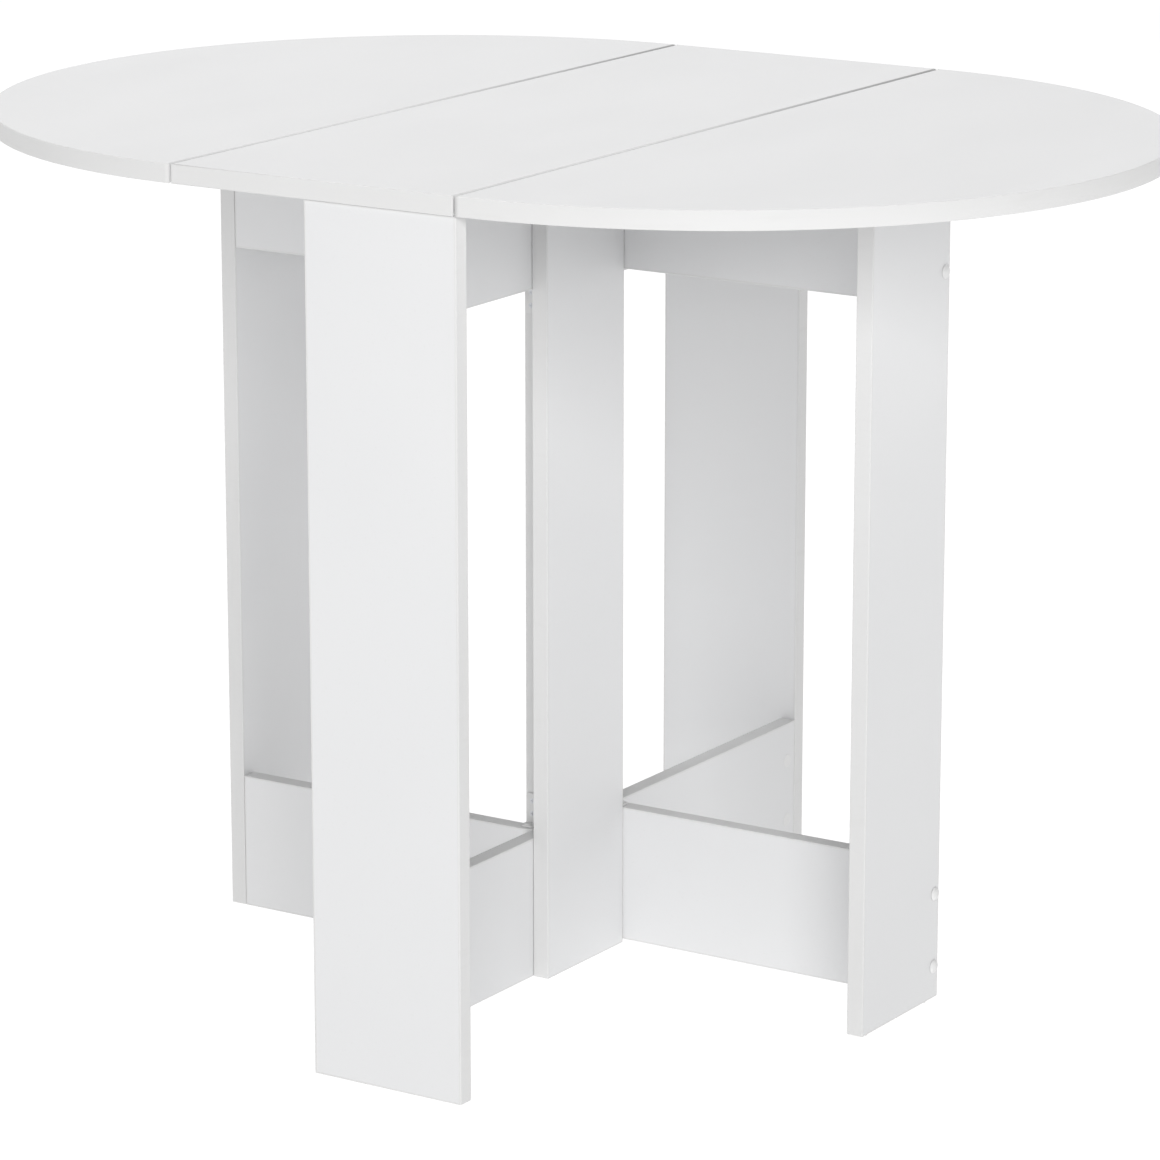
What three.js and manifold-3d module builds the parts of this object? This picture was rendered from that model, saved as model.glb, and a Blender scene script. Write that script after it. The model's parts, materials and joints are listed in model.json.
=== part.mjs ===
// Gateleg table with a fixed centre frame, two swinging gates and two hinged round leaves.
// Millimetres, +Z up. The origin is on the floor at the centre, +X points to the right leaf
// and +Y to the back. The table is open, with both gates swung out under the leaves.
// Turning the table half round about Z gives the same table again.
import * as THREE from 'three';
import { mergeVertices } from 'three/addons/utils/BufferGeometryUtils.js';
import Module from 'manifold-3d';

const wasm = await Module();
wasm.setup();

// Driving dimensions
const LENGTH = 1030;
const WIDTH = 760;
const HEIGHT = 734;
const TOP_THICKNESS = 16;
const BOARD = 15;
const HAIRLINE = 0.3; // gap between pieces that butt together

// Top: a centre panel and two half-round leaves
const LEAF_RADIUS = WIDTH / 2;
const SEAM_X = LENGTH / 2 - LEAF_RADIUS;
const SEAM_GAP = 2;
const BAND = 1;
const ARC_STEPS = 72;
const UNDERSIDE = HEIGHT - TOP_THICKNESS;

// Fixed frame
const RAIL_HEIGHT = 120;
const END_FACE_Y = 377;
const FRAME_TOP = UNDERSIDE - HAIRLINE;
const TOP_RAIL_LOW = 598;
const MIDDLE_LEG_X = BOARD / 2 + HAIRLINE;
const MIDDLE_LEG_NEAR = -77.5;
const MIDDLE_LEG_FAR = 42;

// Gates
const GATE_LOW = 3;
const GATE_TOP = 712;
const PIVOT_X = MIDDLE_LEG_X + BOARD / 2; // a gate turns about the middle of its rails' thickness
const PIVOT_Y = MIDDLE_LEG_FAR + HAIRLINE + BOARD / 2;
const GATE_FAR = PIVOT_Y + BOARD / 2;
const GATE_NEAR = GATE_FAR - BOARD;
const OUTER_LEG_FACE = 327;
const OUTER_LEG_WIDTH = 127; // its inner edge, when folded, stays just inside the seam line

// Gate pivots: a pin on an L-shaped bracket turns in a bore in the rail's rounded end
const PIVOT = { pin: 2.5, bore: 2.8, depth: 18, plate: 1.5, width: 12, reach: 11, height: 28 };

// Leaf hinges
const PIN_RADIUS = 1.2;
const BORE_RADIUS = 1.3;
const KNUCKLE_GAP = 0.5;
const KNUCKLE_CLEARANCE = 0.5;
const ROUND_STEPS = 20;
const LEAF_HINGE = { length: 50, barrel: 2.2, plate: 1.2, wing: 24, places: [-230, 230] };
const LEAF_AXIS_Z = UNDERSIDE - 2.5;

// Small fittings
const CAP = { radius: 6, rim: 0.8, height: 2.6, steps: 16, inset: 28 };
const GLIDE = { radius: 4, height: GATE_LOW - HAIRLINE, steps: 20, inset: 14 };
const REST_PAD = { width: 20, length: 44, offset: 30 };
const GATE_STOP = { thickness: 8, length: 24, depth: 14 };

const white = { color: 0xf1f1ef, roughness: 0.42, metalness: 0 };
const finishes = {
  top: new THREE.MeshStandardMaterial(white),
  band: new THREE.MeshStandardMaterial({ ...white, roughness: 0.5 }),
  board: new THREE.MeshStandardMaterial({ ...white, color: 0xecedee }),
  cap: new THREE.MeshStandardMaterial({ color: 0xf4f4f2, roughness: 0.3, metalness: 0 }),
  zinc: new THREE.MeshStandardMaterial({ color: 0xb9bcc0, roughness: 0.35, metalness: 1 }),
  paint: new THREE.MeshStandardMaterial({ color: 0xe9e9e8, roughness: 0.38, metalness: 0 }),
  glide: new THREE.MeshStandardMaterial({ color: 0x4a4744, roughness: 0.6, metalness: 0 }),
  pad: new THREE.MeshStandardMaterial({ color: 0xdedede, roughness: 0.7, metalness: 0 }),
};

function block(x0, x1, y0, y1, z0, z1) {
  const geometry = new THREE.BoxGeometry(x1 - x0, y1 - y0, z1 - z0);
  return geometry.translate((x0 + x1) / 2, (y0 + y1) / 2, (z0 + z1) / 2);
}

function cylinder(radius, length, steps = ROUND_STEPS) {
  // Round bar on the Z axis, from 0 up to its length.
  const geometry = new THREE.CylinderGeometry(radius, radius, length, steps);
  return geometry.rotateX(Math.PI / 2).translate(0, 0, length / 2);
}

function toSolid(geometry) {
  const bare = geometry.clone();
  bare.deleteAttribute('normal');
  bare.deleteAttribute('uv');
  const merged = mergeVertices(bare);
  const vertProperties = new Float32Array(merged.attributes.position.array);
  const triVerts = new Uint32Array(merged.index.array);
  return new wasm.Manifold(new wasm.Mesh({ numProp: 3, vertProperties, triVerts }));
}

function toGeometry(solid) {
  const { vertProperties, triVerts } = solid.getMesh();
  const geometry = new THREE.BufferGeometry();
  geometry.setAttribute('position', new THREE.BufferAttribute(new Float32Array(vertProperties), 3));
  geometry.setIndex(new THREE.BufferAttribute(new Uint32Array(triVerts), 1));
  geometry.computeVertexNormals();
  return geometry;
}

function place(group, name, geometry, material) {
  const mesh = new THREE.Mesh(geometry, material);
  mesh.name = name;
  group.add(mesh);
  return mesh;
}

// Points of an arc about the seam line, from the front seam corner round to the back one.
function leafArc(radius) {
  const halfAngle = Math.acos(SEAM_GAP / 2 / radius);
  const points = [];
  for (let i = 0; i <= ARC_STEPS; i += 1) {
    const angle = halfAngle * ((2 * i) / ARC_STEPS - 1);
    points.push(new THREE.Vector2(SEAM_X + radius * Math.cos(angle), radius * Math.sin(angle)));
  }
  return points;
}

function slab(outline) {
  const options = { depth: TOP_THICKNESS, bevelEnabled: false };
  return new THREE.ExtrudeGeometry(new THREE.Shape(outline), options).translate(0, 0, UNDERSIDE);
}

// One half of a hinge with its axis on Z: a flat wing along +X, whose flat face is at
// y = faceY, and barrels at every second knuckle. The wing is notched round the other
// half's barrels, and a bore runs right through.
function hingeHalf({ length, barrel, plate, wing, faceY, knuckles }) {
  const reach = barrel + KNUCKLE_CLEARANCE;
  const y0 = Math.min(faceY, faceY - Math.sign(faceY) * plate);
  let solid = toSolid(block(reach, reach + wing, y0, y0 + plate, 0, length));
  const pitch = length / 3;
  for (const knuckle of knuckles) {
    const low = pitch * knuckle + (knuckle === 0 ? 0 : KNUCKLE_GAP / 2);
    const high = pitch * (knuckle + 1) - (knuckle === 2 ? 0 : KNUCKLE_GAP / 2);
    const tab = block(0, reach + plate, y0, y0 + plate, low, high);
    solid = solid.add(toSolid(tab)).add(toSolid(cylinder(barrel, high - low).translate(0, 0, low)));
  }
  const bore = toSolid(cylinder(BORE_RADIUS, length + 2).translate(0, 0, -1));
  return toGeometry(solid.subtract(bore));
}

// Half-round leaf with its edge band, its rest pad over the gate and the gate's stop.
function addLeaf(group, side) {
  const panelRadius = LEAF_RADIUS - BAND - HAIRLINE;
  place(group, `${side}_leaf_panel`, slab(leafArc(panelRadius)), finishes.top);
  const outer = leafArc(LEAF_RADIUS);
  const inner = leafArc(LEAF_RADIUS - BAND).reverse();
  place(group, `${side}_leaf_edge_band`, slab([...outer, ...inner]), finishes.band);

  const middle = OUTER_LEG_FACE - BOARD / 2;
  const legNear = GATE_FAR - OUTER_LEG_WIDTH;
  const [padX0, padX1] = [middle - REST_PAD.width / 2, middle + REST_PAD.width / 2];
  const padY = legNear + REST_PAD.offset;
  const pad = block(padX0, padX1, padY, padY + REST_PAD.length, GATE_TOP + HAIRLINE, FRAME_TOP);
  place(group, `${side}_leaf_rest_pad`, pad, finishes.pad);
  const stopY = legNear - HAIRLINE;
  const [stopX0, stopX1] = [middle - GATE_STOP.length / 2, middle + GATE_STOP.length / 2];
  const stopLow = FRAME_TOP - GATE_STOP.depth;
  const stop = block(stopX0, stopX1, stopY - GATE_STOP.thickness, stopY, stopLow, FRAME_TOP);
  place(group, `${side}_gate_stop`, stop, finishes.pad);
}

// Under-seam hinges: the axis runs along Y and both wings lie against the underside.
function addLeafHinges(group, side) {
  const { length, barrel, plate, wing, places } = LEAF_HINGE;
  const faceY = -(FRAME_TOP - LEAF_AXIS_Z);
  const half = { length, barrel, plate, wing, faceY };
  for (const [index, y] of places.entries()) {
    const end = index === 0 ? 'front' : 'back';
    const toSeam = (geometry) => {
      geometry.rotateX(-Math.PI / 2);
      return geometry.translate(SEAM_X, y - length / 2, LEAF_AXIS_Z);
    };
    const leafHalf = hingeHalf({ ...half, knuckles: [1] });
    const fixedHalf = hingeHalf({ ...half, faceY: -faceY, knuckles: [0, 2] }).rotateZ(Math.PI);
    place(group, `${side}_leaf_hinge_${end}_leaf_plate`, toSeam(leafHalf), finishes.zinc);
    place(group, `${side}_leaf_hinge_${end}_fixed_plate`, toSeam(fixedHalf), finishes.zinc);
    place(group, `${side}_leaf_hinge_${end}_pin`, toSeam(cylinder(PIN_RADIUS, length)), finishes.zinc);
  }
}

// Swinging gate: two rails and the outer leg, with screw caps and floor glides.
function addGate(group, side) {
  const legInner = OUTER_LEG_FACE - BOARD;
  const railEnd = legInner - HAIRLINE;
  const legNear = GATE_FAR - OUTER_LEG_WIDTH;
  const rails = { top: [TOP_RAIL_LOW, GATE_TOP], bottom: [GATE_LOW, GATE_LOW + RAIL_HEIGHT] };
  for (const [level, [low, high]] of Object.entries(rails)) {
    const rail = railGeometry(railEnd, low, high, level === 'bottom');
    place(group, `${side}_gate_${level}_rail`, rail, finishes.board);
    for (const [row, z] of [['lower', low + CAP.inset], ['upper', low + CAP.inset + 64]]) {
      const cap = capGeometry().translate(OUTER_LEG_FACE + HAIRLINE, (GATE_NEAR + GATE_FAR) / 2, z);
      place(group, `${side}_gate_${level}_rail_${row}_cap`, cap, finishes.cap);
    }
  }
  const leg = block(legInner, OUTER_LEG_FACE, legNear, GATE_FAR, GATE_LOW, GATE_TOP);
  place(group, `${side}_gate_outer_leg`, leg, finishes.board);
  for (const [end, y] of [['near', legNear + GLIDE.inset], ['far', GATE_FAR - GLIDE.inset]]) {
    const glide = cylinder(GLIDE.radius, GLIDE.height, GLIDE.steps);
    glide.translate(OUTER_LEG_FACE - BOARD / 2, y, 0);
    place(group, `${side}_gate_${end}_glide`, glide, finishes.glide);
  }
}

// Low domed screw cap on the +X face of the outer leg.
function capGeometry() {
  const profile = [new THREE.Vector2(0, 0), new THREE.Vector2(CAP.radius, 0)];
  const arcSteps = 3;
  for (let i = 0; i <= arcSteps; i += 1) {
    const angle = (i / arcSteps) * (Math.PI / 2);
    const r = i === arcSteps ? 0 : CAP.radius * Math.cos(angle);
    profile.push(new THREE.Vector2(r, CAP.rim + (CAP.height - CAP.rim) * Math.sin(angle)));
  }
  return new THREE.LatheGeometry(profile, CAP.steps).rotateZ(-Math.PI / 2);
}

// Gate rail on edge. Its inner end is rounded about the pivot, with a blind bore for the pin
// in its upper or its lower edge.
function railGeometry(railEnd, low, high, boredFromAbove) {
  const outline = new THREE.Shape();
  outline.moveTo(railEnd, GATE_NEAR);
  outline.lineTo(railEnd, GATE_FAR);
  outline.lineTo(PIVOT_X, GATE_FAR);
  outline.absarc(PIVOT_X, PIVOT_Y, BOARD / 2, Math.PI / 2, (3 * Math.PI) / 2);
  const options = { depth: high - low, bevelEnabled: false, curveSegments: 16 };
  const board = new THREE.ExtrudeGeometry(outline, options).translate(0, 0, low);
  const boreLow = boredFromAbove ? high - PIVOT.depth : low - 2;
  const bore = cylinder(PIVOT.bore, PIVOT.depth + 2).translate(PIVOT_X, PIVOT_Y, boreLow);
  return toGeometry(toSolid(board).subtract(toSolid(bore)));
}

// Pivot bracket: one arm lies on the middle leg's far edge, and the other covers the rail's end
// and carries the pin. way is 1 over a rail's upper edge and -1 under a lower one.
function bracketGeometry(edge, way) {
  const { plate, width, reach, height, depth } = PIVOT;
  const span = (from, to) => [edge + way * from, edge + way * to].sort((a, b) => a - b);
  const [x0, x1] = [PIVOT_X - width / 2, PIVOT_X + width / 2];
  const y0 = MIDDLE_LEG_FAR + HAIRLINE;
  const arm = block(x0, x1, y0, y0 + plate, ...span(HAIRLINE, height));
  const tab = block(x0, x1, y0, y0 + reach, ...span(HAIRLINE, HAIRLINE + plate));
  const [pinLow, pinHigh] = span(1 - depth, HAIRLINE + plate / 2);
  const pin = cylinder(PIVOT.pin, pinHigh - pinLow).translate(PIVOT_X, PIVOT_Y, pinLow);
  return toGeometry(toSolid(arm).add(toSolid(tab)).add(toSolid(pin)));
}

function addGatePivots(group, side) {
  const lower = bracketGeometry(GATE_LOW + RAIL_HEIGHT, 1);
  const upper = bracketGeometry(TOP_RAIL_LOW, -1);
  place(group, `${side}_gate_pivot_bottom`, lower, finishes.paint);
  place(group, `${side}_gate_pivot_top`, upper, finishes.paint);
}

// Half of the fixed frame: one end leg and one middle leg.
function addFrameHalf(group, side, end) {
  const inner = -END_FACE_Y + BOARD;
  const endLeg = block(-BOARD / 2, SEAM_X, -END_FACE_Y, inner, 0, FRAME_TOP);
  place(group, `${end}_leg_panel`, endLeg, finishes.board);
  const x1 = MIDDLE_LEG_X + BOARD;
  const middleLeg = block(MIDDLE_LEG_X, x1, MIDDLE_LEG_NEAR, MIDDLE_LEG_FAR, 0, FRAME_TOP);
  place(group, `${side}_middle_leg`, middleLeg, finishes.board);
}

function addCentre(group) {
  const x = SEAM_X - SEAM_GAP / 2;
  const panelY = WIDTH / 2 - BAND - HAIRLINE;
  place(group, 'top_centre_panel', block(-x, x, -panelY, panelY, UNDERSIDE, HEIGHT), finishes.top);
  const bandY = WIDTH / 2 - BAND;
  const bands = { front: [-WIDTH / 2, -bandY], back: [bandY, WIDTH / 2] };
  for (const [end, [y0, y1]] of Object.entries(bands)) {
    place(group, `centre_${end}_edge_band`, block(-x, x, y0, y1, UNDERSIDE, HEIGHT), finishes.band);
  }
  const railY = END_FACE_Y - BOARD - HAIRLINE;
  const rails = { top: [TOP_RAIL_LOW, FRAME_TOP], bottom: [0, GATE_LOW + RAIL_HEIGHT] };
  for (const [level, [low, high]] of Object.entries(rails)) {
    const rail = block(-BOARD / 2, BOARD / 2, -railY, railY, low, high);
    place(group, `centre_${level}_rail`, rail, finishes.board);
  }
}

const table = new THREE.Group();
addCentre(table);
const halves = [{ side: 'right', end: 'front', turn: 0 }, { side: 'left', end: 'back', turn: Math.PI }];
for (const { side, end, turn } of halves) {
  const group = new THREE.Group();
  group.rotation.z = turn;
  addFrameHalf(group, side, end);
  addLeaf(group, side);
  addLeafHinges(group, side);
  addGate(group, side);
  addGatePivots(group, side);
  table.add(group);
}

export default table;
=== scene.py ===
# A white gateleg table: round-ended top in three panels, a fixed centre frame and two gates.
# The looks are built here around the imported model, in metres, with +Z up.
import json
from math import acos, pi, radians

import bmesh
import bpy
from mathutils import Matrix, Vector


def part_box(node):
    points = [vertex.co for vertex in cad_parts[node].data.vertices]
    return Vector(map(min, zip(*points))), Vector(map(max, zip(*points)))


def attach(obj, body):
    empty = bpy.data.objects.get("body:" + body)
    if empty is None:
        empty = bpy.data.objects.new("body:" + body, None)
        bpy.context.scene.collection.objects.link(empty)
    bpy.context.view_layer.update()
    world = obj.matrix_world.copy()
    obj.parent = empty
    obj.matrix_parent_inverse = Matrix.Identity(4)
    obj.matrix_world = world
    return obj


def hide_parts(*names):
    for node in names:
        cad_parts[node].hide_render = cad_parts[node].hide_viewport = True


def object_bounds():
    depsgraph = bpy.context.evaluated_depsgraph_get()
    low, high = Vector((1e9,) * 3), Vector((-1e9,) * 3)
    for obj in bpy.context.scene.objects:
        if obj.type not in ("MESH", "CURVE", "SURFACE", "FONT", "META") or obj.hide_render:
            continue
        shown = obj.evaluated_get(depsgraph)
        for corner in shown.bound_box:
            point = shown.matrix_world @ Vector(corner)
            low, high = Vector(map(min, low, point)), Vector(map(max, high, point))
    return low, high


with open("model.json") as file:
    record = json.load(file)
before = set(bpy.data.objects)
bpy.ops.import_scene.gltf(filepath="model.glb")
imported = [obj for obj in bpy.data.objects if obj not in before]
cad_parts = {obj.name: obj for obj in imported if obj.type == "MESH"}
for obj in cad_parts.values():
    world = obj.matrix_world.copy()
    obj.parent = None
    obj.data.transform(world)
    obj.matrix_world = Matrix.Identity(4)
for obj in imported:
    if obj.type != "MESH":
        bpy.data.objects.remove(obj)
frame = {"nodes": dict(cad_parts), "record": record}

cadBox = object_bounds()
nodes = frame["nodes"]
bodyOf = {
    node: body
    for body, members in frame["record"]["behaviour"]["bodies"].items()
    for node in members
}
slotOf = {row["node"]: row["material_slot"] for row in frame["record"]["subparts"]}
sides = {"right": Matrix.Identity(4), "left": Matrix.Rotation(pi, 4, "Z")}
print("frame loaded:", len(nodes), "nodes")


class Field:
    # shader maths: a socket that can be added, multiplied and fed to other nodes
    def __init__(self, tree, socket=None):
        self.tree = tree
        self.socket = socket

    def node(self, kind, settings=None, inputs=None, output=0):
        made = self.tree.nodes.new(kind)
        for key, value in (settings or {}).items():
            if key == "stops":
                self.setStops(made.color_ramp, value)
            else:
                setattr(made, key, value)
        for key, value in (inputs or {}).items():
            if isinstance(value, Field):
                self.tree.links.new(value.socket, made.inputs[key])
            else:
                made.inputs[key].default_value = value
        return Field(self.tree, made.outputs[output])

    def setStops(self, ramp, stops):
        while len(ramp.elements) < len(stops):
            ramp.elements.new(1.0)
        for element, (place, shade) in zip(ramp.elements, stops):
            element.position = place
            element.color = (shade, shade, shade, 1)

    def math(self, operation, first, second=0.0):
        return self.node("ShaderNodeMath", {"operation": operation}, {0: first, 1: second})

    def __add__(self, other):
        return self.math("ADD", self, other)

    def __radd__(self, other):
        return self.math("ADD", other, self)

    def __sub__(self, other):
        return self.math("SUBTRACT", self, other)

    def __rsub__(self, other):
        return self.math("SUBTRACT", other, self)

    def __mul__(self, other):
        return self.math("MULTIPLY", self, other)

    def __rmul__(self, other):
        return self.math("MULTIPLY", other, self)


def startMaterial(name):
    # returns the material, a blank field and its finished surface node
    material = bpy.data.materials.new(name)
    material.use_nodes = True
    tree = material.node_tree
    return material, Field(tree), tree.nodes["Principled BSDF"]


def objectPlace(field, stretch=(1, 1, 1), turn=(0, 0, 0)):
    place = field.node("ShaderNodeTexCoord", output="Object")
    return field.node("ShaderNodeMapping", inputs={"Vector": place, "Scale": stretch, "Rotation": turn})


softStops = [(0.35, 0.0), (0.7, 1.0)]


def noise(place, scale, detail=2.0, roughness=0.5, stops=None):
    made = place.node("ShaderNodeTexNoise", {"noise_dimensions": "3D"}, {
        "Vector": place, "Scale": scale, "Detail": detail, "Roughness": roughness})
    if stops:
        made = made.node("ShaderNodeValToRGB", {"stops": stops}, {0: made})
    return made


def mixColours(factor, first, second):
    settings = {"data_type": "RGBA", "blend_type": "MIX"}
    return factor.node("ShaderNodeMix", settings, {0: factor, 6: first, 7: second}, output=2)


def wire(surface, colour=None, roughness=None, height=None, bumpDistance=0.00002, bumpStrength=1.0):
    # hands the finished fields to the surface
    links = {"Base Color": colour, "Roughness": roughness}
    for name, field in links.items():
        if field is not None:
            field.tree.links.new(field.socket, surface.inputs[name])
    if height is not None:
        bump = height.node("ShaderNodeBump", inputs={
            "Height": height, "Distance": bumpDistance, "Strength": bumpStrength})
        height.tree.links.new(bump.socket, surface.inputs["Normal"])


laminateLooks = {
    "topLaminate": {"light": (0.735, 0.735, 0.738, 1), "shade": (0.723, 0.724, 0.728, 1), "roughness": 0.36},
    "frameLaminate": {"light": (0.72, 0.722, 0.727, 1), "shade": (0.70, 0.703, 0.71, 1), "roughness": 0.42},
}
foilLook = {
    "cloudScale": 3.1, "fleckScale": 420.0, "fleckShare": 0.16, "fleckColour": (0.62, 0.616, 0.606, 1),
    "wipeScale": 11.0, "wipeStretch": (1, 0.35, 1), "wipeTurn": (0, 0, 0.5), "wipeDulling": 0.07,
    "grainScale": 1500.0, "grainDulling": 0.05, "peelScale": 260.0, "bumpDepth": 0.000035,
    "specular": 0.45,
}


def makeLaminate(name, look):
    # melamine foil: faint clouding, a pressed pearl grain, and wiped patches that shine less
    material, field, surface = startMaterial(name)
    foil = foilLook
    place = objectPlace(field)
    clouds = noise(place, foil["cloudScale"], 3.0, 0.55, [(0.3, 0.0), (0.72, 1.0)])
    flecks = noise(place, foil["fleckScale"], 2.0, 0.6, [(0.62, 0.0), (0.74, 1.0)])
    colour = mixColours(clouds, look["light"], look["shade"])
    colour = mixColours(flecks * foil["fleckShare"], colour, foil["fleckColour"])
    wipePlace = objectPlace(field, foil["wipeStretch"], foil["wipeTurn"])
    wiped = noise(wipePlace, foil["wipeScale"], 4.0, 0.6, [(0.42, 0.0), (0.68, 1.0)])
    grain = noise(place, foil["grainScale"], 1.0, 0.5)
    peel = noise(place, foil["peelScale"], 2.0, 0.5)
    roughness = look["roughness"] + wiped * foil["wipeDulling"] + grain * foil["grainDulling"]
    wire(surface, colour, roughness, grain * 0.5 + peel, foil["bumpDepth"], 0.7)
    surface.inputs["Specular IOR Level"].default_value = foil["specular"]
    return material


bandTones = {
    "edgeBand": {"light": (0.675, 0.675, 0.673, 1), "shade": (0.66, 0.659, 0.657, 1)},
    # seam band: the edge band's colour made darker, as painted shade for the shade that falls into the seams
    # between the top panels
    "seamShadeBand": {"light": (0.6, 0.6, 0.6, 1), "shade": (0.585, 0.585, 0.587, 1)},
}
bandLook = {
    "toneScale": 9.0, "markScale": 700.0, "markStretch": (1, 1, 0.06), "markDulling": 0.08,
    "scuffScale": 60.0, "scuffStretch": (0.3, 0.3, 2.0), "scuffShare": 0.25, "scuffDulling": 0.1,
    "scuffColour": (0.62, 0.617, 0.61, 1), "roughness": 0.33, "bumpDepth": 0.00002,
}


def makeBand(name, tones):
    # plastic edge strip: smoother than the foil, with fine cross marks from the trimming knife
    material, field, surface = startMaterial(name)
    look = bandLook
    tone = noise(objectPlace(field), look["toneScale"], 2.0, 0.5, softStops)
    marks = noise(objectPlace(field, look["markStretch"]), look["markScale"], 1.0, 0.5)
    scuffPlace = objectPlace(field, look["scuffStretch"])
    scuffs = noise(scuffPlace, look["scuffScale"], 3.0, 0.6, [(0.58, 0.0), (0.75, 1.0)])
    colour = mixColours(tone, tones["light"], tones["shade"])
    colour = mixColours(scuffs * look["scuffShare"], colour, look["scuffColour"])
    roughness = look["roughness"] + marks * look["markDulling"] + scuffs * look["scuffDulling"]
    wire(surface, colour, roughness, marks, look["bumpDepth"], 0.5)
    return material


chipboardLook = {
    "stretch": (1, 1, 2.2), "chipScale": 520.0, "fibreScale": 900.0, "dark": (0.32, 0.22, 0.13, 1),
    "light": (0.62, 0.48, 0.32, 1), "roughness": 0.8, "bumpDepth": 0.0004,
}


def makeChipboard(name):
    # raw board end: pressed chips of several browns
    material, field, surface = startMaterial(name)
    look = chipboardLook
    place = objectPlace(field, look["stretch"])
    chips = place.node("ShaderNodeTexVoronoi", {"feature": "F1"}, {
        "Vector": place, "Scale": look["chipScale"]})
    fibre = noise(place, look["fibreScale"], 3.0, 0.6)
    shade = chips * 0.6 + fibre * 0.5
    colour = mixColours(shade, look["dark"], look["light"])
    wire(surface, colour, look["roughness"] + fibre * 0.1, shade, look["bumpDepth"], 0.8)
    return material


plasticLooks = {
    "screw_cap": {"name": "capPlastic", "light": (0.73, 0.73, 0.728, 1), "shade": (0.7, 0.7, 0.697, 1),
                  "roughness": 0.25, "grainScale": 1600.0, "grainDepth": 0.00002},
    "glide": {"name": "glideNylon", "light": (0.045, 0.042, 0.04, 1), "shade": (0.065, 0.06, 0.056, 1),
              "roughness": 0.45, "grainScale": 1600.0, "grainDepth": 0.00002},
    "pad_plastic": {"name": "padPlastic", "light": (0.62, 0.62, 0.61, 1), "shade": (0.57, 0.57, 0.56, 1),
                    "roughness": 0.55, "grainScale": 900.0, "grainDepth": 0.00006},
    "hinge_paint": {"name": "hingePaint", "light": (0.7, 0.7, 0.698, 1), "shade": (0.66, 0.66, 0.657, 1),
                    "roughness": 0.32, "grainScale": 700.0, "grainDepth": 0.00003},
}


def makePlastic(name, light, shade, roughness, grainScale, grainDepth):
    # moulded plastic or paint: even colour with a light grain
    material, field, surface = startMaterial(name)
    place = objectPlace(field)
    tone = noise(place, 60.0, 2.0, 0.5, softStops)
    grain = noise(place, grainScale, 1.0, 0.5)
    wire(surface, mixColours(tone, light, shade), roughness + grain * 0.1, grain, grainDepth, 0.6)
    return material


zincLook = {
    "streakScale": 2600.0, "streakStretch": (1, 0.04, 1), "streakDulling": 0.1,
    "cloudScale": 190.0, "cloudDulling": 0.12, "light": (0.66, 0.67, 0.69, 1),
    "shade": (0.56, 0.575, 0.6, 1), "roughness": 0.24, "bumpDepth": 0.00001,
}


def makeZinc(name):
    # bright zinc plate on rolled steel: drawn streaks and cloudy passivation
    material, field, surface = startMaterial(name)
    look = zincLook
    streaks = noise(objectPlace(field, look["streakStretch"]), look["streakScale"], 2.0, 0.5)
    clouds = noise(objectPlace(field), look["cloudScale"], 3.0, 0.6, softStops)
    colour = mixColours(clouds, look["light"], look["shade"])
    roughness = look["roughness"] + clouds * look["cloudDulling"] + streaks * look["streakDulling"]
    wire(surface, colour, roughness, streaks, look["bumpDepth"], 0.5)
    surface.inputs["Metallic"].default_value = 1.0
    return material


finishes = {
    "top_laminate": makeLaminate("topLaminate", laminateLooks["topLaminate"]),
    "frame_laminate": makeLaminate("frameLaminate", laminateLooks["frameLaminate"]),
    "edge_band": makeBand("edgeBand", bandTones["edgeBand"]),
    "seam_shade_band": makeBand("seamShadeBand", bandTones["seamShadeBand"]),
    "chipboard": makeChipboard("rawChipboard"),
    "hinge_zinc": makeZinc("zincPlate"),
}
for slot, look in plasticLooks.items():
    finishes[slot] = makePlastic(**look)
print("finishes made:", len(finishes))


mergeReach = 1e-7
samePlace = 1e-6  # places closer than this count as one
facing = 0.999  # a face looks along a direction when its normal has at least this share of it


def vertsOf(made):
    return [part for part in made["geom"] if isinstance(part, bmesh.types.BMVert)]


def facesOf(made):
    return [part for part in made["geom"] if isinstance(part, bmesh.types.BMFace)]


def openEdgesOf(made):
    return [part for part in made["geom"] if isinstance(part, bmesh.types.BMEdge) and part.is_boundary]


def span(edge, axis):
    # how far an edge runs along one axis
    return abs(edge.verts[0].co[axis] - edge.verts[1].co[axis])


def finishPiece(shape, name, body, slots, replaced=()):
    # turns the bmesh into a piece on its body
    bmesh.ops.remove_doubles(shape, verts=shape.verts[:], dist=mergeReach)
    bmesh.ops.recalc_face_normals(shape, faces=shape.faces[:])
    mesh = bpy.data.meshes.new(name)
    shape.to_mesh(mesh)
    shape.free()
    piece = bpy.data.objects.new(name, mesh)
    bpy.context.scene.collection.objects.link(piece)
    for slot in slots:
        mesh.materials.append(finishes[slot])
    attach(piece, body)
    if replaced:
        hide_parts(*replaced)


def startBlock(low, high):
    shape = bmesh.new()
    bmesh.ops.create_cube(shape, size=1)
    bmesh.ops.scale(shape, vec=high - low, verts=shape.verts[:])
    bmesh.ops.translate(shape, vec=(low + high) / 2, verts=shape.verts[:])
    return shape


def roundEdges(shape, edges, radius, segments=3):
    made = bmesh.ops.bevel(
        shape, geom=edges, offset=radius, offset_type="OFFSET", affect="EDGES",
        segments=segments, profile=0.5, material=-1)
    for face in made["faces"]:
        face.smooth = True


boardLook = {
    "edgeRadius": 0.0008, "bandWidth": 0.001, "sharpAngle": 0.6, "pivotFit": 0.00002,
    "pivotSteps": 16,
}
boreLook = {"radius": 0.0028, "depth": 0.018, "steps": 32}


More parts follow.
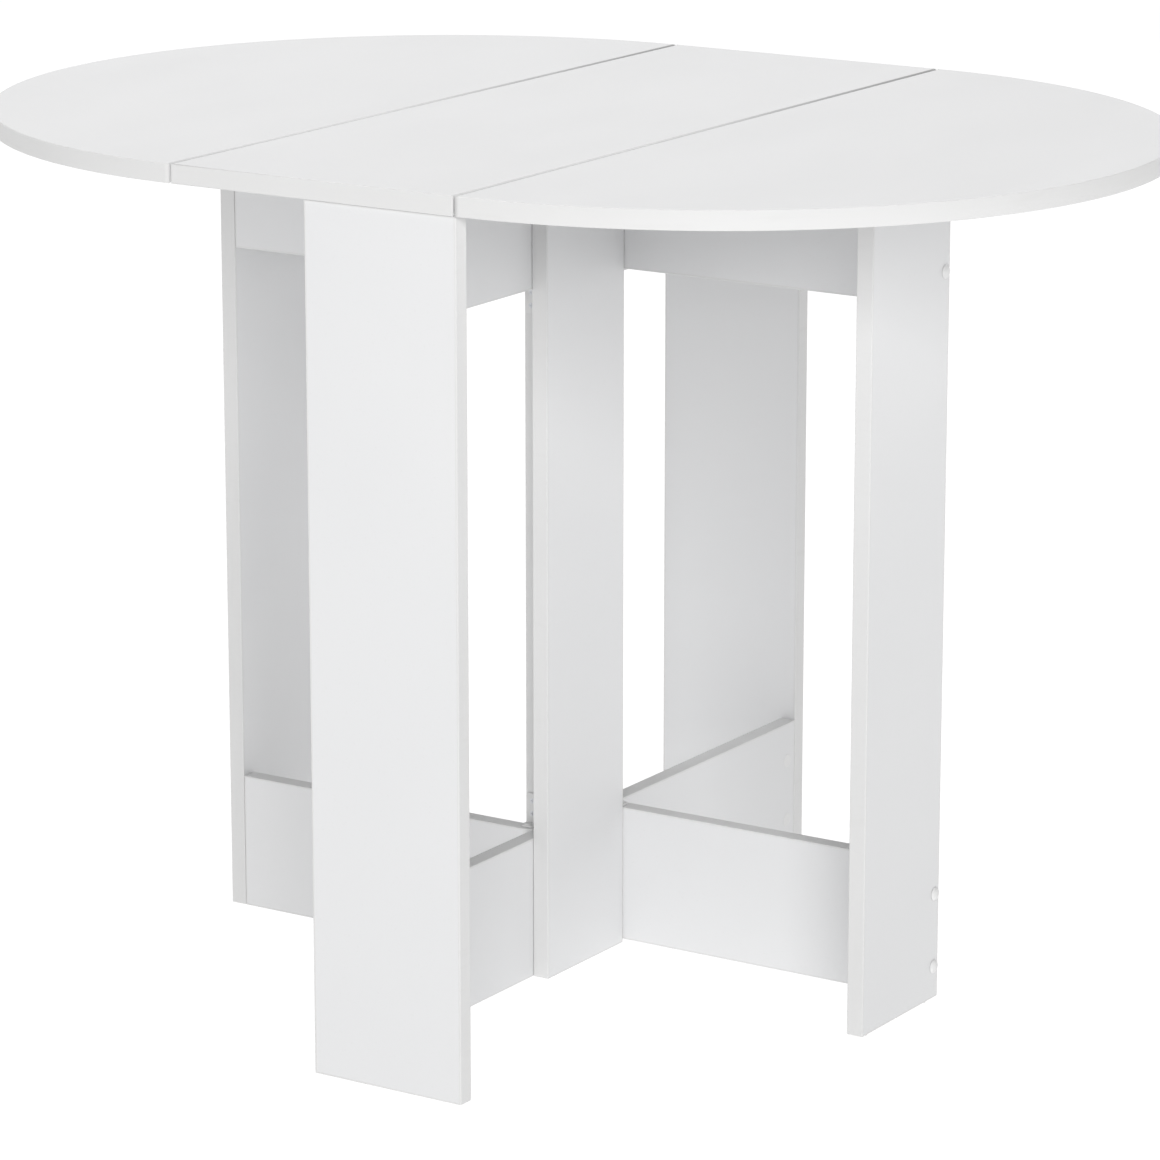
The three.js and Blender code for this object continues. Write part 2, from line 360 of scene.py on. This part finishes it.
def makeBoard(node, raw=(), pivot=None):
    # a board with banded edges; raw lists the directions whose narrow edge shows bare chipboard,
    # and pivot is the point that a rail's rounded end turns about
    low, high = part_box(node)
    shape = startBlock(low, high)
    size = high - low
    thin = min(range(3), key=lambda axis: size[axis])
    if pivot:
        reach = size[thin] / 2
        ends = [e for e in shape.edges if span(e, 2) > reach
                and all(abs(v.co.x - pivot.x) < 2 * reach for v in e.verts)]
        roundEdges(shape, ends, reach - boardLook["pivotFit"], boardLook["pivotSteps"])
    sharp = [e for e in shape.edges if e.calc_face_angle() > boardLook["sharpAngle"]]
    roundEdges(shape, sharp, boardLook["edgeRadius"])
    broad = [face for face in shape.faces if abs(face.normal[thin]) > facing]
    for face in shape.faces:
        face.material_index = 0 if face in broad else 1
        if any(face.normal.dot(Vector(way)) > facing for way in raw):
            face.material_index = 2
    inner = bmesh.ops.inset_region(
        shape, faces=broad, thickness=boardLook["bandWidth"], use_even_offset=True)
    for face in inner["faces"]:
        face.material_index = 1
    if pivot:
        boreRail(shape, pivot, 1 if pivot.z > low.z else -1)
    finishPiece(shape, node + "_board", bodyOf[node], ["frame_laminate", "edge_band", "chipboard"], [node])


def boreRail(shape, pivot, way):
    # blind bore along the pivot, into the upper narrow edge when way is 1 or the lower one when it is -1
    level = [face for face in shape.faces if face.normal.z * way > facing]
    bored = max(level, key=lambda face: face.calc_area())
    rim = bored.edges[:]
    bmesh.ops.delete(shape, geom=[bored], context="FACES_ONLY")
    made = bmesh.ops.create_circle(shape, cap_ends=False, segments=boreLook["steps"],
                                   radius=boreLook["radius"], matrix=Matrix.Translation(pivot))
    ring = [e for e in shape.edges if all(v in made["verts"] for v in e.verts)]
    filled = bmesh.ops.triangle_fill(shape, use_beauty=True, edges=rim + ring, normal=(0, 0, way))
    wall = bmesh.ops.extrude_edge_only(shape, edges=ring)
    bmesh.ops.translate(shape, vec=(0, 0, -way * boreLook["depth"]), verts=vertsOf(wall))
    closed = bmesh.ops.contextual_create(shape, geom=openEdgesOf(wall))
    for face in facesOf(filled):
        face.material_index = 1
    for face in closed["faces"] + facesOf(wall):
        face.material_index = 2


jointAt = {joint["name"]: Vector(joint["pos_m"]) for joint in frame["record"]["behaviour"]["joints"]}
downward = (0, 0, -1)
for node in nodes:
    if node.endswith(("leg_panel", "middle_leg", "outer_leg")):
        makeBoard(node, raw=[downward])
    elif "gate" in node and node.endswith("_rail"):
        pivot = jointAt[node.split("_")[0] + "_gate_hinge"].copy()
        pivot.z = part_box(node)[1 if "bottom" in node else 0].z
        makeBoard(node, pivot=pivot)
    elif node.endswith("_rail"):
        makeBoard(node)
print("boards made")


topLook = {
    "steps": 288, "seamRadius": 0.0022, "seamFit": 0.00003, "seamReach": 0.00025, "strip": 0.001,
    "roundSteps": 4, "longEdge": 0.1,
}


def makeCentrePanel():
    low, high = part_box("top_centre_panel")
    bandLow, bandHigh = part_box("centre_back_edge_band")
    low.y = -bandLow.y + topLook["seamFit"]
    high.y = bandLow.y - topLook["seamFit"]
    low.x -= topLook["seamReach"]
    high.x += topLook["seamReach"]
    shape = startBlock(low, high)
    seamEdges = [e for e in shape.edges if span(e, 1) > topLook["longEdge"]]
    roundEdges(shape, seamEdges, topLook["seamRadius"], topLook["roundSteps"])
    for face in shape.faces:
        # the rounded seam edges take the darker seam band, painted shade for the shade in the seam
        face.material_index = 1 if abs(face.normal.x) > 0.01 else 0
    finishPiece(shape, "centrePanel", "centre_frame", ["top_laminate", "seam_shade_band"], ["top_centre_panel"])
    for end in ("front", "back"):
        node = f"centre_{end}_edge_band"
        low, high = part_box(node)
        shape = startBlock(low, high)
        outward = -1 if end == "front" else 1
        outer = [e for e in shape.edges if all(v.co.y * outward > bandHigh.y - samePlace for v in e.verts)]
        roundEdges(shape, outer, boardLook["edgeRadius"], topLook["roundSteps"])
        finishPiece(shape, f"centreBand_{end}", "centre_frame", ["edge_band"], [node])


def makeLeaf(side):
    # half-round panel, cut from a disc at the seam, then its edge strip, spun round the rim
    turn = sides[side]
    panelLow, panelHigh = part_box("right_leaf_panel")
    panelLow.x -= topLook["seamReach"]
    bandLow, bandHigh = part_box("right_leaf_edge_band")
    radius = bandHigh.y
    seam = bandHigh.x - radius
    strip = topLook["strip"]
    thickness = panelHigh.z - panelLow.z
    centre = Vector((seam, 0, panelLow.z))

    shape = bmesh.new()
    bmesh.ops.create_circle(shape, cap_ends=True, segments=2 * topLook["steps"],
                            radius=radius - strip - topLook["seamFit"])
    bmesh.ops.bisect_plane(shape, geom=shape.verts[:] + shape.edges[:] + shape.faces[:],
                           plane_co=(panelLow.x - seam, 0, 0), plane_no=(1, 0, 0), clear_inner=True)
    made = bmesh.ops.extrude_face_region(shape, geom=shape.faces[:])
    bmesh.ops.translate(shape, vec=(0, 0, thickness), verts=vertsOf(made))
    bmesh.ops.translate(shape, vec=centre, verts=shape.verts[:])
    straight = [e for e in shape.edges if span(e, 1) > topLook["longEdge"]]
    roundEdges(shape, straight, topLook["seamRadius"], topLook["roundSteps"])
    for face in shape.faces:
        level = abs(face.normal.z) > facing
        nearSeam = face.calc_center_median().x < panelLow.x + topLook["seamRadius"]
        # the rounded seam edges take the darker seam band, painted shade for the shade in the seam
        face.material_index = 1 if nearSeam and not level else 0
        face.smooth = not level
    bmesh.ops.transform(shape, matrix=turn, verts=shape.verts[:])
    finishPiece(shape, f"{side}LeafPanel", f"{side}_leaf", ["top_laminate", "seam_shade_band"],
                [f"{side}_leaf_panel"])

    halfAngle = acos((bandLow.x - seam) / radius)
    shape = startBlock(Vector((radius - strip, -strip / 2, 0)), Vector((radius, strip / 2, thickness)))
    flat = [f for f in shape.faces if abs(f.normal.y) > 0.9]
    bmesh.ops.delete(shape, geom=[f for f in shape.faces if f not in flat[:1]], context="FACES")
    loose = [v for v in shape.verts if not v.link_faces]
    bmesh.ops.delete(shape, geom=loose, context="VERTS")
    for vert in shape.verts:
        vert.co.y = 0
    bmesh.ops.rotate(shape, cent=(0, 0, 0), matrix=Matrix.Rotation(-halfAngle, 3, "Z"), verts=shape.verts[:])
    bmesh.ops.spin(shape, geom=shape.verts[:] + shape.edges[:] + shape.faces[:], cent=(0, 0, 0),
                   axis=(0, 0, 1), angle=2 * halfAngle, steps=topLook["steps"], use_duplicate=False)
    bmesh.ops.remove_doubles(shape, verts=shape.verts[:], dist=mergeReach)
    bmesh.ops.recalc_face_normals(shape, faces=shape.faces[:])
    rim = [
        e for e in shape.edges
        if len(e.link_faces) == 2 and all(v.co.xy.length > radius - strip / 2 for v in e.verts)
        and span(e, 2) < samePlace
    ]
    roundEdges(shape, rim, boardLook["edgeRadius"], topLook["roundSteps"])
    for face in shape.faces:
        face.smooth = abs(face.normal.z) < facing
    bmesh.ops.translate(shape, vec=centre, verts=shape.verts[:])
    bmesh.ops.transform(shape, matrix=turn, verts=shape.verts[:])
    finishPiece(shape, f"{side}LeafBand", f"{side}_leaf", ["edge_band"], [f"{side}_leaf_edge_band"])


makeCentrePanel()
for side in sides:
    makeLeaf(side)
print("top made")


def spinProfile(points, steps, closed=False):
    # turns a profile of (radius, height) points about Z; a tube's profile is closed
    shape = bmesh.new()
    verts = [shape.verts.new((r, 0, z)) for r, z in points]
    for first, second in zip(verts, verts[1:] + verts[:1] if closed else verts[1:]):
        shape.edges.new((first, second))
    bmesh.ops.spin(shape, geom=shape.verts[:] + shape.edges[:], cent=(0, 0, 0), axis=(0, 0, 1),
                   angle=2 * pi, steps=steps, use_merge=True, use_duplicate=False)
    bmesh.ops.remove_doubles(shape, verts=shape.verts[:], dist=mergeReach)
    bmesh.ops.recalc_face_normals(shape, faces=shape.faces[:])
    for face in shape.faces:
        face.smooth = True
    return shape


hingeLook = {
    "plate": 0.0012, "face": 0.0022, "barrel": 0.0022, "bore": 0.0013, "clearance": 0.0005,
    "gap": 0.0005, "corner": 0.003, "steps": 32, "lap": 0.0005, "boreFit": 0.00005, "soft": 0.0002,
    "holes": [(0.3, -0.34), (0.66, 0.0), (0.3, 0.34)], "headRadius": 0.0027,
}
screwLook = {
    "steps": 28, "sunk": 0.0001, "shank": 0.6, "depth": 0.0006, "slot": 0.00036, "reach": 0.66,
    "fill": 0.9, "holeSteps": 24, "holeFit": 0.0001,
}


def addTo(shape, part, matrix=None):
    # joins a finished part into a bigger bmesh, closed over
    if matrix:
        bmesh.ops.transform(part, matrix=matrix, verts=part.verts[:])
    mesh = bpy.data.meshes.new("joining")
    part.to_mesh(mesh)
    part.free()
    shape.from_mesh(mesh)
    bpy.data.meshes.remove(mesh)


def makePlate(low, high, look, holes):
    # flat wing from its visible face at height 0 up to its back, with countersunk holes
    shape = bmesh.new()
    corners = [shape.verts.new((x, y, 0)) for x, y in ((low.x, low.y), (high.x, low.y), (high.x, high.y),
                                                       (low.x, high.y))]
    bmesh.ops.contextual_create(shape, geom=corners)
    far = [v for v in shape.verts if v.co.x > high.x - samePlace]
    bmesh.ops.bevel(shape, geom=far, offset=look["corner"], offset_type="OFFSET", affect="VERTICES",
                    segments=5, profile=0.5, material=-1)
    bmesh.ops.delete(shape, geom=shape.faces[:], context="FACES_ONLY")
    for centre in holes:
        bmesh.ops.create_circle(shape, cap_ends=False, segments=screwLook["holeSteps"],
                                radius=look["headRadius"] + screwLook["holeFit"],
                                matrix=Matrix.Translation((centre.x, centre.y, 0)))
    bmesh.ops.triangle_fill(shape, use_beauty=True, edges=shape.edges[:], normal=(0, 0, 1))
    lifted = vertsOf(bmesh.ops.extrude_face_region(shape, geom=shape.faces[:]))
    bmesh.ops.translate(shape, vec=(0, 0, look["plate"]), verts=lifted)
    for centre in holes:
        reach = look["headRadius"] + 2 * screwLook["holeFit"]
        ring = [v for v in lifted if (v.co.xy - centre.xy).length < reach]
        bmesh.ops.scale(shape, vec=(screwLook["shank"], screwLook["shank"], 1), verts=ring,
                        space=Matrix.Translation((-centre.x, -centre.y, 0)))
    return shape


def makeScrewHead(radius, depth):
    # countersunk head with a cross slot, its flat top at height 0 and its cone above, as seen from below
    shape = bmesh.new()
    bmesh.ops.create_circle(shape, cap_ends=False, segments=screwLook["steps"], radius=radius)
    rim = shape.edges[:]
    wide, reach = screwLook["slot"], radius * screwLook["reach"]
    outline = [(wide, wide), (wide, reach), (-wide, reach), (-wide, wide), (-reach, wide), (-reach, -wide),
               (-wide, -wide), (-wide, -reach), (wide, -reach), (wide, -wide), (reach, -wide), (reach, wide)]
    verts = [shape.verts.new((x, y, 0)) for x, y in outline]
    cross = [shape.edges.new((a, b)) for a, b in zip(verts, verts[1:] + verts[:1])]
    bmesh.ops.triangle_fill(shape, use_beauty=True, edges=rim + cross, normal=(0, 0, 1))
    narrow = screwLook["shank"]
    for edges, lift in ((rim, depth), (cross, screwLook["depth"])):
        made = bmesh.ops.extrude_edge_only(shape, edges=edges)
        bmesh.ops.translate(shape, vec=(0, 0, lift), verts=vertsOf(made))
        bmesh.ops.scale(shape, vec=(narrow, narrow, 1), verts=vertsOf(made))
        bmesh.ops.contextual_create(shape, geom=openEdgesOf(made))
    return shape


def makeHingeHalf(node, axis, wing, board, knuckles):
    # axis is a point on the pin; wing points from it along the plate and board to the wood behind
    look = hingeLook
    low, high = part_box(node)
    middle = (low + high) / 2
    along = board.cross(wing)
    length = abs((high - low).dot(along))
    origin = axis + along * (middle - axis).dot(along)
    toWorld = Matrix.Translation(origin) @ Matrix((wing, along, board)).transposed().to_4x4()
    reach = max((corner - origin).dot(wing) for corner in (low, high))
    start = look["barrel"] + look["clearance"]
    visible = look["face"] - look["plate"]
    holes = [Vector((start + (reach - start) * x, length * y, 0)) for x, y in look["holes"]]
    shape = bmesh.new()
    plate = makePlate(Vector((start, -length / 2, 0)), Vector((reach, length / 2, 0)), look, holes)
    addTo(shape, plate, Matrix.Translation((0, 0, visible)))
    inner = max(look["bore"] ** 2 - visible ** 2, 0) ** 0.5 + look["boreFit"]
    for knuckle in knuckles:
        near = length * (knuckle / 3 - 0.5) + (look["gap"] / 2 if knuckle else 0)
        far = length * ((knuckle + 1) / 3 - 0.5) - (look["gap"] / 2 if knuckle < 2 else 0)
        neck = startBlock(Vector((inner, near, visible)), Vector((start + look["lap"], far, look["face"])))
        addTo(shape, neck)
        soft = look["soft"]
        tube = spinProfile([
            (look["bore"], near), (look["barrel"] - soft, near), (look["barrel"], near + soft),
            (look["barrel"], far - soft), (look["barrel"] - soft, far), (look["bore"], far)],
            look["steps"], closed=True)
        addTo(shape, tube, Matrix.Rotation(-pi / 2, 4, "X"))
    bmesh.ops.transform(shape, matrix=toWorld, verts=shape.verts[:])
    finishPiece(shape, node + "_formed", bodyOf[node], [slotOf[node]], [node])
    heads = bmesh.new()
    for centre in holes:
        head = makeScrewHead(look["headRadius"], look["plate"] * screwLook["fill"])
        addTo(heads, head, toWorld @ Matrix.Translation((centre.x, centre.y, visible + screwLook["sunk"])))
    finishPiece(heads, node + "_screws", bodyOf[node], ["hinge_zinc"])


pivotLook = {
    "plate": 0.0015, "width": 0.012, "corner": 0.0025, "lap": 0.0003, "headRadius": 0.0024,
    "holes": [0.36, 0.76], "steps": 32, "profile": [
        (0, -0.0167), (0.0022, -0.0167), (0.0025, -0.0164), (0.0025, 0), (0.0036, 0), (0.0036, 0.0004),
        (0.0032, 0.0008), (0.0024, 0.0012), (0.0012, 0.0014), (0, 0.0014)],
}


def makePivot(node, axis, backward, way, edge):
    # pressed angle and its riveted pin; way is 1 over a rail's upper edge and -1 under a lower one
    look = pivotLook
    low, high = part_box(node)
    back = min((corner - axis).dot(backward) for corner in (low, high))
    front = max((corner - axis).dot(backward) for corner in (low, high))
    height = high.z - edge if way > 0 else edge - low.z
    lift = Vector((0, 0, way))
    onEdge = Vector((axis.x, axis.y, edge))
    outerFace = lift * (look["lap"] + look["plate"])
    half = look["width"] / 2
    shape = bmesh.new()
    heads = bmesh.new()

    holes = [Vector((height * x, 0, 0)) for x in look["holes"]]
    arm = makePlate(Vector((look["lap"], -half, 0)), Vector((height, half, 0)), look, holes)
    place = onEdge + backward * (back + look["plate"])
    turn = Matrix((lift, (-backward).cross(lift), -backward)).transposed().to_4x4()
    onLeg = Matrix.Translation(place) @ turn
    addTo(shape, arm, onLeg)
    for centre in holes:
        head = makeScrewHead(look["headRadius"], look["plate"] * screwLook["fill"])
        addTo(heads, head, onLeg @ Matrix.Translation((centre.x, 0, screwLook["sunk"])))

    tab = makePlate(Vector((0, -half, 0)), Vector((front - back, half, 0)), look, [])
    turn = Matrix((backward, (-lift).cross(backward), -lift)).transposed().to_4x4()
    addTo(shape, tab, Matrix.Translation(onEdge + backward * back + outerFace) @ turn)
    flip = Matrix.Identity(4) if way > 0 else Matrix.Rotation(pi, 4, "X")
    pin = spinProfile(look["profile"], look["steps"])
    addTo(shape, pin, Matrix.Translation(onEdge + outerFace) @ flip)
    finishPiece(shape, node + "_formed", bodyOf[node], [slotOf[node]], [node])
    finishPiece(heads, node + "_screws", bodyOf[node], ["hinge_zinc"])


upward = Vector((0, 0, 1))
for side, turn in sides.items():
    outward = turn.to_3x3() @ Vector((1, 0, 0))
    backward = turn.to_3x3() @ Vector((0, 1, 0))
    for end in ("front", "back"):
        stem = f"{side}_leaf_hinge_{end}"
        axis = jointAt[f"{side}_leaf_hinge"]
        makeHingeHalf(stem + "_leaf_plate", axis, outward, upward, [1])
        makeHingeHalf(stem + "_fixed_plate", axis, -outward, upward, [0, 2])
    for level, way in (("bottom", 1), ("top", -1)):
        railLow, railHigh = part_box(f"{side}_gate_{level}_rail")
        edge = railHigh.z if way > 0 else railLow.z
        makePivot(f"{side}_gate_pivot_{level}", jointAt[f"{side}_gate_hinge"], backward, way, edge)
for node, piece in nodes.items():
    if node.endswith("_pin"):
        piece.data.materials.clear()
        piece.data.materials.append(finishes[slotOf[node]])
print("hinges and pivots made")


capLook = {"steps": 40, "profile": [
    (0, 0), (1, 0), (1, 0.06), (0.97, 0.16), (0.88, 0.38), (0.76, 0.58), (0.6, 0.76),
    (0.4, 0.9), (0.2, 0.97), (0, 1)]}


def makeCap(node):
    low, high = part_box(node)
    size = high - low
    outward = 1 if low.x > 0 else -1
    shape = spinProfile([(r * size.z / 2, h * size.x) for r, h in capLook["profile"]], capLook["steps"])
    centre = (low + high) / 2
    centre.x = low.x if outward > 0 else high.x
    turn = Matrix.Rotation(outward * pi / 2, 4, "Y")
    bmesh.ops.transform(shape, matrix=Matrix.Translation(centre) @ turn, verts=shape.verts[:])
    finishPiece(shape, node + "_dome", bodyOf[node], ["screw_cap"], [node])


glideLook = {"steps": 36, "profile": [
    (0, 0), (0.72, 0), (0.9, 0.1), (1, 0.34), (1, 0.62), (0.9, 0.8), (0.6, 1), (0, 1)]}


def makeGlide(node):
    low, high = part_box(node)
    size = high - low
    shape = spinProfile([(r * size.x / 2, h * size.z) for r, h in glideLook["profile"]], glideLook["steps"])
    centre = (low + high) / 2
    bmesh.ops.translate(shape, vec=(centre.x, centre.y, low.z), verts=shape.verts[:])
    finishPiece(shape, node + "_nylon", bodyOf[node], ["glide"], [node])


padLook = {"corner": 0.003, "cornerSteps": 6, "edgeRadius": 0.0008}


def makePad(node):
    low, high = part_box(node)
    shape = startBlock(low, high)
    upright = [e for e in shape.edges if span(e, 2) > samePlace]
    roundEdges(shape, upright, padLook["corner"], padLook["cornerSteps"])
    under = [e for e in shape.edges if all(v.co.z < low.z + samePlace for v in e.verts)]
    roundEdges(shape, under, padLook["edgeRadius"])
    finishPiece(shape, node + "_moulding", bodyOf[node], ["pad_plastic"], [node])


camLook = {
    "radius": 0.0062, "height": 0.0002, "inset": 0.013, "rows": [0.25, 0.71], "steps": 36,
    "profile": [(0, 0), (1, 0), (1, 0.5), (0.95, 0.85), (0.86, 1), (0.3, 1), (0.24, 0.8), (0, 0.75)],
}


def makeCamCovers(level):
    # covers over the cam locks: on the right face at the back end and the left face at the front end
    low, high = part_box(f"centre_{level}_rail")
    covers = bmesh.new()
    for turn in sides.values():
        for row in camLook["rows"]:
            profile = [(r * camLook["radius"], h * camLook["height"]) for r, h in camLook["profile"]]
            place = Vector((high.x, high.y - camLook["inset"], low.z + (high.z - low.z) * row))
            upright = Matrix.Translation(place) @ Matrix.Rotation(pi / 2, 4, "Y")
            addTo(covers, spinProfile(profile, camLook["steps"]), turn @ upright)
    finishPiece(covers, f"centre_{level}_rail_cam_covers", "centre_frame", ["screw_cap"])


stopScrewLook = {"radius": 0.0028, "depth": 0.001, "proud": 0.0002}


def makeStopScrew(node):
    low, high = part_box(node)
    middle = (low + high) / 2
    head = makeScrewHead(stopScrewLook["radius"], stopScrewLook["depth"])
    place = (middle.x, middle.y, low.z - stopScrewLook["proud"])
    bmesh.ops.translate(head, vec=place, verts=head.verts[:])
    finishPiece(head, node + "_screw", bodyOf[node], ["hinge_zinc"])


for level in ("top", "bottom"):
    makeCamCovers(level)
for node in nodes:
    if node.endswith("_gate_stop"):
        makeStopScrew(node)
    if node.endswith("_cap"):
        makeCap(node)
    elif node.endswith("_glide"):
        makeGlide(node)
    elif node.endswith(("_rest_pad", "_gate_stop")):
        makePad(node)
print("fittings made")


sweepLook = {
    "steps": 96, "glow": 1.0, "sunk": 0.0002, "toneScale": 0.7, "roughness": 0.9,
    "glowTones": ((1.0, 1.0, 1.0, 1), (0.985, 0.985, 0.985, 1)),
    "baseTones": ((0.1, 0.1, 0.1, 1), (0.08, 0.08, 0.08, 1)),
    "profile": [(0, 0), (20, 0), (21.5, 0.15), (22.7, 0.6), (23.6, 1.3), (24.2, 2.3), (24.5, 3.6)],
}


def makeFloor():
    # pale sweep that glows and curves up far away, so the studio stays even right round the object
    material, field, surface = startMaterial("studioFloor")
    tone = noise(objectPlace(field), sweepLook["toneScale"], 2.0, 0.5, [(0.3, 0.0), (0.7, 1.0)])
    glow = mixColours(tone, *sweepLook["glowTones"])
    field.tree.links.new(glow.socket, surface.inputs["Emission Color"])
    wire(surface, mixColours(tone, *sweepLook["baseTones"]), sweepLook["roughness"] + tone * 0.05)
    surface.inputs["Emission Strength"].default_value = sweepLook["glow"]
    surface.inputs["Specular IOR Level"].default_value = 0.0
    shape = spinProfile(sweepLook["profile"], sweepLook["steps"])
    mesh = bpy.data.meshes.new("studioFloor")
    shape.to_mesh(mesh)
    shape.free()
    floor = bpy.data.objects.new("studioFloor", mesh)
    mesh.materials.append(material)
    bpy.context.scene.collection.objects.link(floor)
    floor.location.z = cadBox[0].z - sweepLook["sunk"]


def addLamp(name, place, target, size, power):
    data = bpy.data.lights.new(name, "AREA")
    data.shape = "RECTANGLE"
    data.size, data.size_y = size
    data.energy = power
    lamp = bpy.data.objects.new(name, data)
    bpy.context.scene.collection.objects.link(lamp)
    lamp.location = place
    lamp.visible_glossy = False  # keeps its glare off the white top
    lamp.rotation_euler = (Vector(target) - Vector(place)).to_track_quat("-Z", "Y").to_euler()


lamps = {
    "keySoftbox": {"place": (3.25, -4.35, 2.75), "target": (0, 0, 0.4), "size": (2.6, 2.0), "power": 198},
    "overhead": {"place": (-0.9, 0.6, 4.6), "target": (0, 0, 0), "size": (3.6, 3.6), "power": 172},
}
skyStrength = 0.24
for name, lamp in lamps.items():
    addLamp(name, **lamp)
world = bpy.data.worlds.new("studioWorld")
bpy.context.scene.world = world
world.use_nodes = True
sky = world.node_tree.nodes["Background"]
sky.inputs["Color"].default_value = (1, 1, 1, 1)
sky.inputs["Strength"].default_value = skyStrength
bpy.context.scene.view_settings.view_transform = "Standard"

makeFloor()
view = {
    "azimuth": 32.75, "elevation": 14.32, "place": (2.317, -3.594, 1.424), "lens": 160.5,
    "sensor": 36, "reach": 200,
}
camera = bpy.data.objects.new("camera", bpy.data.cameras.new("camera"))
bpy.context.scene.collection.objects.link(camera)
camera.data.lens = view["lens"]
camera.data.sensor_width = view["sensor"]
camera.data.clip_end = view["reach"]
camera.location = view["place"]
camera.rotation_euler = (radians(90 - view["elevation"]), 0, radians(view["azimuth"]))
bpy.context.scene.camera = camera
print("stage ready")
